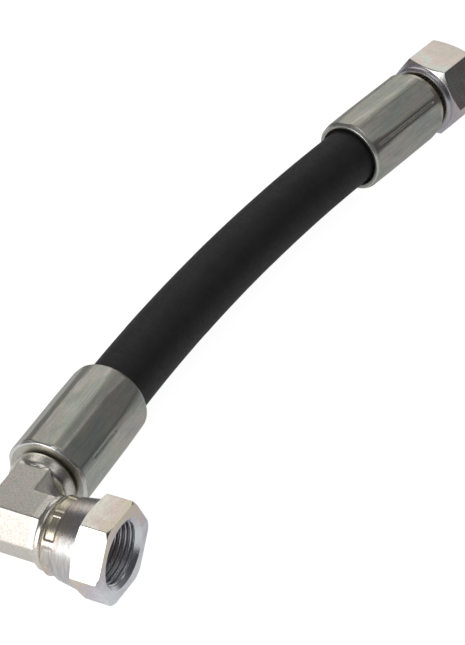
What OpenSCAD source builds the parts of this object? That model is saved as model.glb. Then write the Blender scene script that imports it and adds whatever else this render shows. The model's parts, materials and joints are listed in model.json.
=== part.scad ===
// Short two-wire hydraulic hose with a block elbow on one end and a straight fitting on the other.
// Origin: where the thread starts inside the elbow nut's mouth. +X leaves that nut, along its axis.
// The elbow and the bent hose lie in the XY plane.

/* [Hose] */
// Outside diameter of the hose
hose_od = 23; // [22.6:0.1:23.6]
// Inside diameter of the hose
hose_id = 12.7; // [12.4:0.1:13]
// Length of hose between the two ferrules, along its middle
free_length = 165; // [130:1:400]
// How far the hose turns between the two ferrules, towards the elbow nut
bend_angle = 12.6; // [4:0.1:30]

/* [Ferrules] */
// Diameter over the ridges that the crimping dies leave
ferrule_od = 30.2; // [30:0.1:31]
// Distance across two opposite crimp flats
ferrule_flats = 29; // [28.8:0.1:29.6]
// Length of each ferrule
ferrule_length = 44; // [42:0.5:50]
// Angle of the first crimp ridge at the elbow end
elbow_ridge_angle = 24; // [0:1:45]
// Angle of the first crimp ridge at the straight end
straight_ridge_angle = 34; // [0:1:45]

/* [Elbow] */
// From the elbow's corner to the ferrule's face
corner_to_ferrule = 22; // [21:0.5:28]
// From the elbow's corner to the nut's front face
corner_to_mouth = 40.4; // [40:0.1:44]
// Height of the forged block
block_height = 21.2; // [20:0.1:23]
// Width of the block's top and bottom flats
block_flat = 11.2; // [9:0.1:13]
// Width of the block at its middle, where the draft meets
block_width = 20.4; // [19:0.1:22]
// Diameter of the round collar beside the ferrule
block_collar_d = 22.8; // [22:0.1:24]
// Diameter of the flange behind the nut
block_flange_d = 25; // [24:0.1:26]

/* [Swivel nuts] */
// Distance across the flats of both nuts
nut_flats = 30; // [30:0.5:32]
// Length of the elbow's nut
elbow_nut_length = 23.2; // [23:0.1:24]
// Length of the hexagon on the elbow's nut
elbow_hex_length = 10.8; // [9:0.1:12]
// Length of the straight end's nut
straight_nut_length = 23; // [23:0.1:26]
// Gap between the straight ferrule and its nut
straight_nut_gap = 4.9; // [4.5:0.1:8]
// Turn of the elbow's nut about its axis
elbow_nut_turn = -5; // [-30:1:30]
// Turn of the straight nut about its axis
straight_nut_turn = 3; // [-30:1:30]
// Minor diameter of the G5/8 thread
thread_minor_d = 20.59; // [20.5:0.01:20.7]

/* [Hidden] */
$fn = 96;

// Boundaries between the hose's layers, from the bore outwards: where it is free, and where it is gripped
free_radii = [hose_id / 2, 8.2, 8.95, 9.35, 10.1, hose_od / 2];
gripped_radii = [hose_id / 2 + 0.1, 8.1, 8.8, 9.2, 9.9, 11.2];
gripped_r = gripped_radii[5];

// How far a gripped end reaches into the free hose
grip_overlap = 0.5;

// Running gap between the hose and the metal that grips it
grip_gap = 0.03;

// Every fitting has the same passage
passage_r = 4.75;

// Ferrule, measured from its fitting end: counterbore, locking lip, then the hose between the teeth
ferrule_face_chamfer = 1.1;
ferrule_taper_start = 30;
ferrule_taper = 0.3;
ferrule_edge = 1.4;
ferrule_face_hole_r = 9.2;
lip_start = 2;
lip_end = 5;
lip_r = 7.4;
hose_stop = 7.2;
tooth_pitch = 5;
tooth_grooves = 6;
tooth_groove_width = 1.6;
tooth_groove_depth = 0.6;
mouth_chamfer = 2;
mouth_flare = 1.4;

// Hose tail, measured from the same face
tail_collar_r = 8.6;
tail_groove_r = 7.3;
tail_stop_r = 8.4;
tail_r = gripped_radii[0] - grip_gap;
tail_end = 39;
tail_chamfer = 1;
tail_chamfer_length = 1.5;
barbs = 6;
barb_pitch = 4.6;
barb_groove_width = 2.2;
barb_depth = 0.45;
lip_play = 0.1;
spigot_r = 7;
spigot_depth = 6;
braze_gap = 0.8;

// Block: flash line where the draft meets, the flange behind the nut, and the collar beside the ferrule
flash_height = 1.2;
flange_thickness = 2.7;
flange_chamfer = 0.6;
collar_r = block_collar_d / 2;
collar_length = 5.9;
collar_front_round = 1.2;
collar_back_chamfer = 0.3;
boss_r = 8.9;
boss_height = 0.2;

// Nut, measured from its rear face
nut_rear_hole_r = 8.6;
nut_shoulder_start = 4.3;
nut_relief_r = 11.6;
thread_r = thread_minor_d / 2;
thread_length = 9;
mouth_r = 11.95;
mouth_depth = mouth_r - thread_r;
hex_flat_r = nut_flats / 2;
hex_corner_r = nut_flats / sqrt(3) + 0.1;
hex_chamfer = 0.8;

// Staked band at the rear of the elbow's nut, and rolled lip at the rear of the straight end's
band_r = 13.4;
band_end = 5;
band_chamfer = 0.8;
band_step = 0.4;
hex_back_chamfer = 0.9;
rolled_lip_r = 14.5;
rolled_lip_length = 2.6;
rolled_lip_round = 1.2;
straight_back_chamfer = 1.6;
straight_front_chamfer = 1.5;

// Collar of the one-piece fitting, between its ferrule and its nut
stop_collar_r = 13.3;
stop_collar_start = 0.2;
stop_collar_length = 3.1;
stop_collar_chamfer = 0.5;

// Cone nose, measured from the nut's rear face
neck_r = 8.3;
neck_end = nut_shoulder_start + 0.1;
nose_shoulder_r = 10.1;
nose_shoulder_end = 7.4;
nose_r = 9.6;
nose_cone_start = 8.4;
nose_tip = 12.2;
nose_tip_r = nose_r - (nose_tip - nose_cone_start) * tan(30);
seal_at = 10.3;
seal_thickness = 1.6;
seal_groove_r = 7;
seal_play = 0.05;

// Places along the elbow's two axes, from its corner
nut_rear_x = corner_to_mouth - elbow_nut_length;
flange_front_x = nut_rear_x - 0.3;
flange_back_x = flange_front_x - flange_thickness;
boss_end_y = corner_to_ferrule - braze_gap;
collar_end_y = boss_end_y - boss_height;
collar_start_y = collar_end_y - collar_length;

// The hose's arc, and the straight fitting's frame at the far end of it
arc_radius = free_length / (bend_angle * PI / 180);
hose_mouth_y = corner_to_ferrule + ferrule_length;
far_x = arc_radius * (1 - cos(bend_angle));
far_y = hose_mouth_y + arc_radius * sin(bend_angle);

// Puts the elbow's corner where the origin is at the start of the nut's thread.
module from_corner() {
  translate([mouth_depth - corner_to_mouth, 0, 0]) children();
}

// Turns a shape that stands on the Z axis to point along X or Y.
module along_x() {
  rotate([0, 90, 0]) children();
}

module along_y() {
  rotate([-90, 0, 0]) children();
}

// The elbow end's fitting frame: Z runs from the ferrule's face into the hose.
module elbow_fitting() {
  from_corner() translate([0, corner_to_ferrule, 0]) along_y() children();
}

// The straight end's fitting frame: Z runs from the ferrule's face into the hose.
module straight_fitting() {
  from_corner() translate([far_x, far_y, 0]) rotate([0, 0, -bend_angle])
    translate([0, ferrule_length, 0]) rotate([90, 0, 0]) children();
}

// The frames of the two nuts: Z runs from the nut's rear face to its mouth.
module elbow_nut_frame() {
  from_corner() translate([nut_rear_x, 0, 0]) along_x() children();
}

module straight_nut_frame() {
  from_corner() translate([far_x, far_y, 0]) rotate([0, 0, -bend_angle])
    translate([0, ferrule_length + straight_nut_gap, 0]) along_y() children();
}

// A turned shape from [radius, height] points.
module turned(points) {
  rotate_extrude() polygon(points);
}

module ring(r_out, r_in, length) {
  difference() {
    cylinder(r = r_out, h = length);
    translate([0, 0, -1]) cylinder(r = r_in, h = length + 2);
  }
}

// The hose filled in out to one boundary: an arc, and the squeezed straight ends that the ferrules grip.
// The ends are longer by extra, so that one core can be cut out of another.
module hose_core(boundary, extra) {
  grip = ferrule_length - hose_stop + extra + grip_overlap;
  from_corner() translate([arc_radius, hose_mouth_y, 0]) rotate([0, 0, 180 - bend_angle])
    rotate_extrude(angle = bend_angle) translate([arc_radius, 0]) circle(r = free_radii[boundary]);
  elbow_fitting() translate([0, 0, hose_stop - extra]) cylinder(r = gripped_radii[boundary], h = grip);
  straight_fitting() translate([0, 0, hose_stop - extra]) cylinder(r = gripped_radii[boundary], h = grip);
}

// One layer of the hose, between two of its boundaries.
module hose_layer(inside, outside) {
  difference() {
    hose_core(outside, 0);
    hose_core(inside, 1);
  }
}

module hose_cover() {
  color([0.09, 0.09, 0.09]) hose_layer(4, 5);
}

module hose_outer_braid() {
  color([0.62, 0.6, 0.52]) hose_layer(3, 4);
}

module hose_middle_rubber() {
  color([0.15, 0.14, 0.13]) hose_layer(2, 3);
}

module hose_inner_braid() {
  color([0.64, 0.61, 0.52]) hose_layer(1, 2);
}

module hose_inner_tube() {
  color([0.12, 0.12, 0.12]) hose_layer(0, 1);
}

// Outside of a ferrule: turned ends, and eight flats from the crimping dies.
module ferrule_outside(ridge_angle) {
  r = ferrule_od / 2;
  intersection() {
    turned([[0, 0], [r - ferrule_face_chamfer, 0], [r, ferrule_face_chamfer], [r, ferrule_taper_start],
            [r - ferrule_taper, ferrule_length - ferrule_edge],
            [r - ferrule_taper - ferrule_edge, ferrule_length], [0, ferrule_length]]);
    rotate([0, 0, ridge_angle]) cylinder(d = ferrule_flats / cos(22.5), h = ferrule_length, $fn = 8);
  }
}

// Inside of a ferrule: counterbore, locking lip, and grooves between the teeth that bite the hose.
module ferrule_inside() {
  grip_r = gripped_r + grip_gap;
  translate([0, 0, -1]) cylinder(r = ferrule_face_hole_r, h = lip_start + 1);
  cylinder(r = lip_r, h = lip_end + 1);
  translate([0, 0, lip_end]) cylinder(r = grip_r, h = ferrule_length);
  translate([0, 0, ferrule_length - mouth_chamfer])
    cylinder(r1 = grip_r, r2 = grip_r + mouth_flare, h = mouth_chamfer + 0.01);
  for (i = [1 : tooth_grooves])
    translate([0, 0, lip_end + i * tooth_pitch])
      cylinder(r = grip_r + tooth_groove_depth, h = tooth_groove_width);
}

module ferrule(ridge_angle) {
  difference() {
    ferrule_outside(ridge_angle);
    ferrule_inside();
  }
}

module elbow_ferrule() {
  color([0.56, 0.56, 0.52]) elbow_fitting() ferrule(-elbow_ridge_angle);
}

module straight_ferrule() {
  color([0.58, 0.58, 0.53]) straight_fitting() ferrule(straight_ridge_angle);
}

// The part of a fitting that goes into the hose: collar, groove for the ferrule's lip, stop and barbs.
module tail_outside() {
  cylinder(r = tail_collar_r, h = lip_start - lip_play);
  cylinder(r = tail_groove_r, h = hose_stop - lip_play);
  translate([0, 0, lip_end + lip_play]) cylinder(r = tail_stop_r, h = hose_stop - lip_end - 2 * lip_play);
  difference() {
    turned([[0, 0], [tail_r, 0], [tail_r, tail_end - tail_chamfer_length],
            [tail_r - tail_chamfer, tail_end], [0, tail_end]]);
    for (i = [1 : barbs])
      translate([0, 0, hose_stop + i * barb_pitch])
        ring(tail_r + 1, tail_r - barb_depth, barb_groove_width);
  }
}

module elbow_hose_tail() {
  color([0.66, 0.65, 0.6]) elbow_fitting() difference() {
    union() {
      tail_outside();
      translate([0, 0, -spigot_depth]) cylinder(r = spigot_r, h = spigot_depth + 0.5);
    }
    translate([0, 0, -spigot_depth - 1]) cylinder(r = passage_r, h = spigot_depth + tail_end + 2);
  }
}

module elbow_tail_braze() {
  color([0.78, 0.62, 0.32]) elbow_fitting() translate([0, 0, -braze_gap])
    ring(tail_collar_r, spigot_r, braze_gap);
}

// The block's section: flat top and bottom, and sides with forging draft that meet at the middle.
module block_section(length) {
  h = block_height / 2;
  f = block_flat / 2;
  w = block_width / 2;
  flash = flash_height / 2;
  linear_extrude(length) polygon([[f, h], [w, flash], [w, -flash], [f, -h],
                                  [-f, -h], [-w, -flash], [-w, flash], [-f, h]]);
}

// The block's two legs, seen from the corner: the first along X, the second along Y.
module leg_x(from, to) {
  translate([from, 0, 0]) rotate([90, 0, 90]) block_section(to - from);
}

module leg_y(from, to) {
  translate([0, to, 0]) rotate([90, 0, 0]) block_section(to - from);
}

// One corner of the block, square to the XY plane: where a run along X meets a run along Y.
module leg_joint(x_from, x_to, y_from, y_to) {
  intersection() {
    leg_x(x_from, x_to);
    leg_y(y_from, y_to);
  }
}

// The leg towards the hose: it runs into a round collar, with a low boss that meets the braze.
module hose_leg() {
  leg_y(0, collar_start_y + 1);
  along_y() turned([[0, collar_start_y], [collar_r - collar_front_round, collar_start_y],
                    [collar_r - 0.3 * collar_front_round, collar_start_y + 0.4 * collar_front_round],
                    [collar_r, collar_start_y + 1.2 * collar_front_round],
                    [collar_r, collar_end_y - collar_back_chamfer],
                    [collar_r - collar_back_chamfer, collar_end_y], [boss_r, collar_end_y],
                    [boss_r, boss_end_y], [0, boss_end_y]]);
}

// The leg towards the nut, with its round flange.
module nut_leg() {
  flange_r = block_flange_d / 2;
  leg_x(0, flange_back_x + 0.5);
  translate([flange_back_x, 0, 0]) along_x()
    turned([[0, 0], [flange_r - flange_chamfer, 0], [flange_r, flange_chamfer],
            [flange_r, flange_thickness - flange_chamfer],
            [flange_r - flange_chamfer, flange_thickness], [0, flange_thickness]]);
}

// Both passages, and the wider holes that take the spigots of the tail and the stub.
module block_bores() {
  sphere(r = passage_r);
  along_x() cylinder(r = passage_r, h = corner_to_mouth);
  along_y() cylinder(r = passage_r, h = corner_to_ferrule);
  translate([flange_front_x - spigot_depth, 0, 0]) along_x() cylinder(r = spigot_r, h = spigot_depth + 1);
  translate([0, corner_to_ferrule - spigot_depth, 0]) along_y()
    cylinder(r = spigot_r, h = spigot_depth + 1);
}

module elbow_block() {
  half = block_width / 2;
  color([0.68, 0.66, 0.6]) from_corner() difference() {
    union() {
      nut_leg();
      hose_leg();
      leg_joint(-block_width, 0.01, -block_width, 0.01);
      leg_joint(-block_width, 0.01, 0, half);
      leg_joint(0, half, -block_width, 0.01);
    }
    block_bores();
  }
}

// The 60 degree nose: neck, shoulder that holds the nut, cone and seal groove.
module nose_outside(start) {
  turned([[0, start], [neck_r, start], [neck_r, neck_end],
          [nose_shoulder_r, neck_end + nose_shoulder_r - neck_r], [nose_shoulder_r, nose_shoulder_end],
          [nose_r, nose_shoulder_end + nose_shoulder_r - nose_r], [nose_r, nose_cone_start],
          [nose_tip_r, nose_tip], [0, nose_tip]]);
}

module seal_groove() {
  translate([0, 0, seal_at - seal_thickness / 2 - seal_play])
    ring(nose_r + 1, seal_groove_r, seal_thickness + 2 * seal_play);
}

module cone_seal() {
  color([0.07, 0.07, 0.07]) translate([0, 0, seal_at]) rotate_extrude()
    translate([seal_groove_r + seal_play / 2 + seal_thickness / 2, 0]) circle(d = seal_thickness, $fn = 48);
}

module elbow_cone_stub() {
  stub_back = flange_front_x - nut_rear_x - spigot_depth;
  color([0.66, 0.65, 0.6]) elbow_nut_frame() difference() {
    union() {
      nose_outside(flange_front_x - nut_rear_x + braze_gap);
      translate([0, 0, stub_back]) cylinder(r = spigot_r, h = spigot_depth + 1);
    }
    seal_groove();
    translate([0, 0, stub_back - 1]) cylinder(r = passage_r, h = corner_to_mouth);
  }
}

module elbow_stub_braze() {
  color([0.78, 0.62, 0.32]) elbow_nut_frame() translate([0, 0, flange_front_x - nut_rear_x])
    ring(neck_r - 0.1, spigot_r, braze_gap);
}

module elbow_cone_seal() {
  elbow_nut_frame() cone_seal();
}

// A hexagonal prism whose corners are cut by a turned outline.
module nut_hexagon(turn, outline) {
  intersection() {
    rotate([0, 0, turn]) cylinder(d = nut_flats / cos(30), h = corner_to_mouth, $fn = 6);
    turned(outline);
  }
}

// The inside of a nut: rear hole, shoulder, relief, thread at its minor diameter and countersunk mouth.
module nut_inside(length) {
  shoulder = nut_relief_r - nut_rear_hole_r;
  thread_end = length - mouth_depth;
  thread_start = thread_end - thread_length;
  turned([[0, -1], [nut_rear_hole_r, -1], [nut_rear_hole_r, nut_shoulder_start],
          [nut_relief_r, nut_shoulder_start + shoulder], [nut_relief_r, thread_start - 1],
          [thread_r, thread_start], [thread_r, thread_end], [mouth_r + 1, length + 1], [0, length + 1]]);
}

module elbow_swivel_nut() {
  hex_back = elbow_nut_length - elbow_hex_length;
  color([0.76, 0.72, 0.66]) elbow_nut_frame() difference() {
    union() {
      turned([[0, 0], [band_r - band_chamfer, 0], [band_r, band_chamfer], [band_r, band_end],
              [band_r + band_step, band_end], [hex_flat_r, hex_back], [hex_flat_r, hex_back + 1],
              [0, hex_back + 1]]);
      nut_hexagon(90 + elbow_nut_turn,
        [[0, hex_back - 0.5], [hex_flat_r - 0.3, hex_back - 0.5], [hex_flat_r, hex_back],
         [hex_corner_r, hex_back + hex_back_chamfer], [hex_corner_r, elbow_nut_length - hex_chamfer],
         [hex_corner_r - hex_chamfer, elbow_nut_length], [0, elbow_nut_length]]);
    }
    nut_inside(elbow_nut_length);
  }
}

// The one-piece straight fitting: tail, stop collar outside the ferrule, and nose.
module straight_insert() {
  color([0.62, 0.64, 0.56]) difference() {
    union() {
      straight_fitting() tail_outside();
      straight_nut_frame() {
        translate([0, 0, -straight_nut_gap]) cylinder(r = tail_groove_r, h = straight_nut_gap);
        translate([0, 0, stop_collar_start - straight_nut_gap])
          turned([[0, 0], [stop_collar_r - stop_collar_chamfer, 0], [stop_collar_r, stop_collar_chamfer],
                  [stop_collar_r, stop_collar_length - stop_collar_chamfer],
                  [stop_collar_r - stop_collar_chamfer, stop_collar_length], [0, stop_collar_length]]);
        nose_outside(stop_collar_length - straight_nut_gap);
      }
    }
    straight_nut_frame() seal_groove();
    straight_nut_frame() translate([0, 0, -straight_nut_gap - tail_end - 1])
      cylinder(r = passage_r, h = tail_end + corner_to_mouth);
  }
}

module straight_cone_seal() {
  straight_nut_frame() cone_seal();
}

module straight_swivel_nut() {
  hex_back = rolled_lip_length + 0.2;
  color([0.72, 0.69, 0.65]) straight_nut_frame() difference() {
    union() {
      turned([[0, 0], [rolled_lip_r - rolled_lip_round, 0], [rolled_lip_r - 0.3 * rolled_lip_round, 0.4],
              [rolled_lip_r, rolled_lip_round], [rolled_lip_r, rolled_lip_length],
              [hex_flat_r - 0.1, rolled_lip_length + 0.8], [0, rolled_lip_length + 0.8]]);
      nut_hexagon(straight_nut_turn,
        [[0, hex_back], [hex_flat_r - 0.4, hex_back], [hex_corner_r, hex_back + straight_back_chamfer],
         [hex_corner_r, straight_nut_length - straight_front_chamfer],
         [hex_flat_r - 0.1, straight_nut_length], [0, straight_nut_length]]);
    }
    nut_inside(straight_nut_length);
  }
}

hose_cover();
hose_outer_braid();
hose_middle_rubber();
hose_inner_braid();
hose_inner_tube();
elbow_ferrule();
straight_ferrule();
elbow_block();
elbow_hose_tail();
elbow_tail_braze();
elbow_cone_stub();
elbow_stub_braze();
elbow_cone_seal();
elbow_swivel_nut();
straight_insert();
straight_cone_seal();
straight_swivel_nut();
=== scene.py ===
"""The looks of a short hydraulic hose with a block elbow on one end and a straight fitting on the other."""
import json
import math

import bmesh
import bpy
import numpy as np
from mathutils import Matrix, Vector


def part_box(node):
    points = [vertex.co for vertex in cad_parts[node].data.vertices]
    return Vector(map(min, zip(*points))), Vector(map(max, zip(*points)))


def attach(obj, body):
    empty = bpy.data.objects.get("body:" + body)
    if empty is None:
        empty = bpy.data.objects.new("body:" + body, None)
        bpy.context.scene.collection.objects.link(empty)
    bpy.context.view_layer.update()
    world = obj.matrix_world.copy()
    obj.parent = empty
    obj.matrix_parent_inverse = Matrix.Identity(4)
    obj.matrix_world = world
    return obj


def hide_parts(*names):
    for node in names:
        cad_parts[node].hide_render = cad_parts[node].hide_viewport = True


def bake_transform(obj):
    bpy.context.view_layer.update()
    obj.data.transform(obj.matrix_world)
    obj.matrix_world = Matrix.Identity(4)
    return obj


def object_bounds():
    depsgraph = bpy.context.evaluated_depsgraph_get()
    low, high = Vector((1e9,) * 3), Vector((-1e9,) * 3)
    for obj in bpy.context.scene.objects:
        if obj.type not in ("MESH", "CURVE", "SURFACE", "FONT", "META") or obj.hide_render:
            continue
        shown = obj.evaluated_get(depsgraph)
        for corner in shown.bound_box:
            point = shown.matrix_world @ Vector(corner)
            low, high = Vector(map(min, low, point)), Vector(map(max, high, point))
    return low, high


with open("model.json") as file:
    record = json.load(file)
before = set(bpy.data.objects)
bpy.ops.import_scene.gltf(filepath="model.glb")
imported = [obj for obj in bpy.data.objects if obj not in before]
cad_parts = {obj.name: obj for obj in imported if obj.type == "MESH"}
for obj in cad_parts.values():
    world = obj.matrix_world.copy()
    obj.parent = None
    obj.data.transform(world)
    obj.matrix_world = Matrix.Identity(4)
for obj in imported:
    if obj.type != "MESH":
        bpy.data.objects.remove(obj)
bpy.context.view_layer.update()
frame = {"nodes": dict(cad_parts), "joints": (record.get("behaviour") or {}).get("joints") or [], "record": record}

MM = 0.001
THREAD_PITCH = 25.4 * MM / 14
THREAD_DEPTH = 1.16 * MM
THREAD_STEP = THREAD_PITCH / 12

# ---------------------------------------------------------------- places, all worked out from the frame

joints = {joint["name"]: joint for joint in frame["joints"]}
mounts = {mount["name"]: mount for mount in frame["record"]["mounts"]}


class Place:
    """A local frame: z runs along a part's axis, and angle 0 is x."""

    def __init__(self, origin, z, x):
        self.origin = Vector(origin)
        self.z = Vector(z).normalized()
        self.x = Vector(x).normalized()
        self.y = self.z.cross(self.x)

    def reach(self, node):
        """Lowest and highest place of a CAD node along z."""
        along = [(v.co - self.origin).dot(self.z) for v in frame["nodes"][node].data.vertices]
        return min(along), max(along)

    def moved(self, along):
        return Place(self.origin + self.z * along, self.z, self.x)

    def to_row(self, points):
        """Local points as an array, in the row frame."""
        axes = np.array([self.x, self.y, self.z], float)
        return np.asarray(points, float) @ axes + np.array(self.origin, float)


ferrule_low, ferrule_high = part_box("elbow_ferrule")
hose_axis_x = (ferrule_low.x + ferrule_high.x) / 2
corner = Vector((hose_axis_x, 0, 0))
ferrule_length = ferrule_high.y - ferrule_low.y
elbow_mouth = Vector((hose_axis_x, ferrule_high.y, 0))
straight_axis = Vector(joints["straight_nut_spin"]["axis"])
bend = math.atan2(straight_axis.x, straight_axis.y)
flex_centre = Vector(joints["hose_flex"]["pos_m"])
arc_radius = (flex_centre.y - elbow_mouth.y) / math.sin(bend / 2)
arc_centre = elbow_mouth + Vector((arc_radius, 0, 0))
free_length = arc_radius * bend
straight_mouth = arc_centre + arc_radius * Vector((-math.cos(bend), math.sin(bend), 0))
across = Vector((straight_axis.y, -straight_axis.x, 0))

elbow_hose_place = Place((hose_axis_x, ferrule_low.y, 0), (0, 1, 0), (1, 0, 0))
straight_hose_place = Place(straight_mouth + straight_axis * ferrule_length, -straight_axis, across)
elbow_port = Place(mounts["elbow_port"]["pos_m"], mounts["elbow_port"]["axis"], (0, 1, 0))
straight_port = Place(mounts["straight_port"]["pos_m"], mounts["straight_port"]["axis"], across)
elbow_nut_place = elbow_port.moved(elbow_port.reach("elbow_swivel_nut")[0])
straight_nut_place = straight_port.moved(straight_port.reach("straight_swivel_nut")[0])
elbow_nut_length = elbow_nut_place.reach("elbow_swivel_nut")[1]
straight_nut_length = straight_nut_place.reach("straight_swivel_nut")[1]
thread_minor_r = mounts["elbow_port"]["dims"]["r_mm"] * MM
hose_stop = elbow_hose_place.reach("hose_cover")[0]

# ---------------------------------------------------------------- camera

CAMERA_FROM_CORNER = Vector((300.14, -399.68, 466.92)) * MM
CAMERA_AZIMUTH = 28.31
CAMERA_ELEVATION = 38.43
CAMERA_ROLL = -3.956
CAMERA_LENS = 117.55


def direction_to(azimuth, elevation):
    """The direction of a camera or light, in degrees round from -Y towards +X, and up."""
    round_by = math.radians(azimuth)
    up_by = math.radians(elevation)
    level = math.cos(up_by)
    return Vector((math.sin(round_by) * level, -math.cos(round_by) * level, math.sin(up_by)))


def make_camera():
    data = bpy.data.cameras.new("camera")
    data.lens = CAMERA_LENS
    data.sensor_width = 36
    data.clip_start = 0.02
    data.clip_end = 20
    camera = bpy.data.objects.new("camera", data)
    bpy.context.scene.collection.objects.link(camera)
    back = direction_to(CAMERA_AZIMUTH, CAMERA_ELEVATION)
    turn = (-back).to_track_quat("-Z", "Y").to_matrix().to_4x4()
    roll = Matrix.Rotation(math.radians(CAMERA_ROLL), 4, "Z")
    camera.matrix_world = Matrix.Translation(corner + CAMERA_FROM_CORNER) @ turn @ roll
    bpy.context.scene.camera = camera


# ---------------------------------------------------------------- mesh helpers

FILLET_STEPS = 4
EDGE_STEP = 0.06 * MM
ROUND = np.linspace(0, 2 * math.pi, 192, endpoint=False)


def smoothstep(low, high, x):
    t = np.clip((x - low) / (high - low), 0, 1)
    return t * t * (3 - 2 * t)


def smooth_min(a, b, blend):
    """The smaller of two radii, with the edge between them rounded over about blend."""
    h = np.clip(0.5 + 0.5 * (b - a) / blend, 0, 1)
    return b + (a - b) * h - blend * h * (1 - h)


def polygon_radius(angles, flat_r, sides, first_flat, sharpness):
    """Distance out to a prism's flats. The higher the sharpness, the less its corners are rounded."""
    flats = first_flat + np.arange(sides) * 2 * math.pi / sides
    reach = np.clip(np.cos(angles[:, None] - flats[None, :]), 0, None)
    return flat_r / (reach**sharpness).sum(1) ** (1 / sharpness)


def sector_angles(sides, per_side, first_flat):
    """Angles round a prism, closer together near its corners."""
    u = (np.arange(per_side) + 0.5) / per_side * 2 - 1
    within = np.sin(u * math.pi / 2) * math.pi / sides
    return np.concatenate([first_flat + k * 2 * math.pi / sides + within for k in range(sides)])


def is_thread(start, end):
    """Does this run of an outline touch the minor diameter, where the thread is cut?"""
    near = 0.01 * MM
    low = min(start.y, end.y)
    high = max(start.y, end.y)
    return low < thread_minor_r + near and high > thread_minor_r - near


def rounded(corners):
    """The points of a closed outline, from (z, r, fillet) corners."""
    points = []
    for i, (z, r, fillet) in enumerate(corners):
        here = Vector((z, r))
        before = Vector(corners[i - 1][:2])
        after = Vector(corners[(i + 1) % len(corners)][:2])
        if fillet <= 0:
            points.append(here)
            continue
        to_before = (before - here).normalized()
        to_after = (after - here).normalized()
        half = math.acos(max(-1, min(1, to_before.dot(to_after)))) / 2
        cut = min(fillet / math.tan(half), 0.45 * (before - here).length, 0.45 * (after - here).length)
        start = here + to_before * cut
        end = here + to_after * cut
        for k in range(FILLET_STEPS + 1):
            t = k / FILLET_STEPS
            points.append((1 - t) ** 2 * start + 2 * t * (1 - t) * here + t * t * end)
    return points


def outline(corners, step):
    """A closed outline with rounded corners, its straight runs cut into short steps. The steps beside a
    corner are shorter still, so that smooth shading stays crisp there."""
    points = rounded(corners)
    dense = []
    for i, start in enumerate(points):
        end = points[(i + 1) % len(points)]
        length = (end - start).length
        edge = min(EDGE_STEP, length / 4)
        finest = THREAD_STEP if is_thread(start, end) else step
        inner = max(1, round((length - 2 * edge) / finest))
        stops = [0.0]
        if length > 4 * edge:
            stops += [(edge + (length - 2 * edge) * k / inner) / length for k in range(inner + 1)]
        dense += [start.lerp(end, t) for t in stops]
    return np.array([[p.x, p.y] for p in dense])


def store_local(mesh, points):
    """Stores each point's own coordinates in millimetres, for the materials to read."""
    attribute = mesh.attributes.new("local", "FLOAT_VECTOR", "POINT")
    attribute.data.foreach_set("vector", (np.asarray(points) / MM).astype(np.float32).ravel())


def mesh_piece(name, vertices, faces, local=None, smooth=True):
    """A mesh object from arrays of points and faces. local is the points in the piece's own coordinates."""
    mesh = bpy.data.meshes.new(name)
    mesh.from_pydata(np.asarray(vertices).tolist(), [], [tuple(f) for f in np.asarray(faces).tolist()])
    if local is not None:
        store_local(mesh, local)
    mesh.validate()
    piece = bpy.data.objects.new(name, mesh)
    bpy.context.scene.collection.objects.link(piece)
    make_normals_point_out(mesh)
    if smooth:
        mesh.polygons.foreach_set("use_smooth", [True] * len(mesh.polygons))
    return piece


def make_normals_point_out(mesh):
    shape = bmesh.new()
    shape.from_mesh(mesh)
    bmesh.ops.recalc_face_normals(shape, faces=shape.faces)
    shape.to_mesh(mesh)
    shape.free()


def grid_faces(rows, columns):
    """Quads of a grid whose rows and columns both wrap round."""
    row, column = np.meshgrid(np.arange(rows), np.arange(columns), indexing="ij")
    next_row = (row + 1) % rows
    next_column = (column + 1) % columns
    quads = np.stack([row * columns + column, next_row * columns + column,
                      next_row * columns + next_column, row * columns + next_column], -1)
    return quads.reshape(-1, 4)


def turned(name, place, profile, angles, shape=None):
    """A closed turned piece. shape(z, r, angles) may change each ring's radius round its circle."""
    rings = []
    for z, r in profile:
        radius = np.full(len(angles), r) if shape is None else shape(z, r, angles)
        rings.append(np.stack([radius * np.cos(angles), radius * np.sin(angles), np.full(len(angles), z)], 1))
    local = np.concatenate(rings)
    return mesh_piece(name, place.to_row(local), grid_faces(len(profile), len(angles)), local)


# ---------------------------------------------------------------- material helpers


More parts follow.
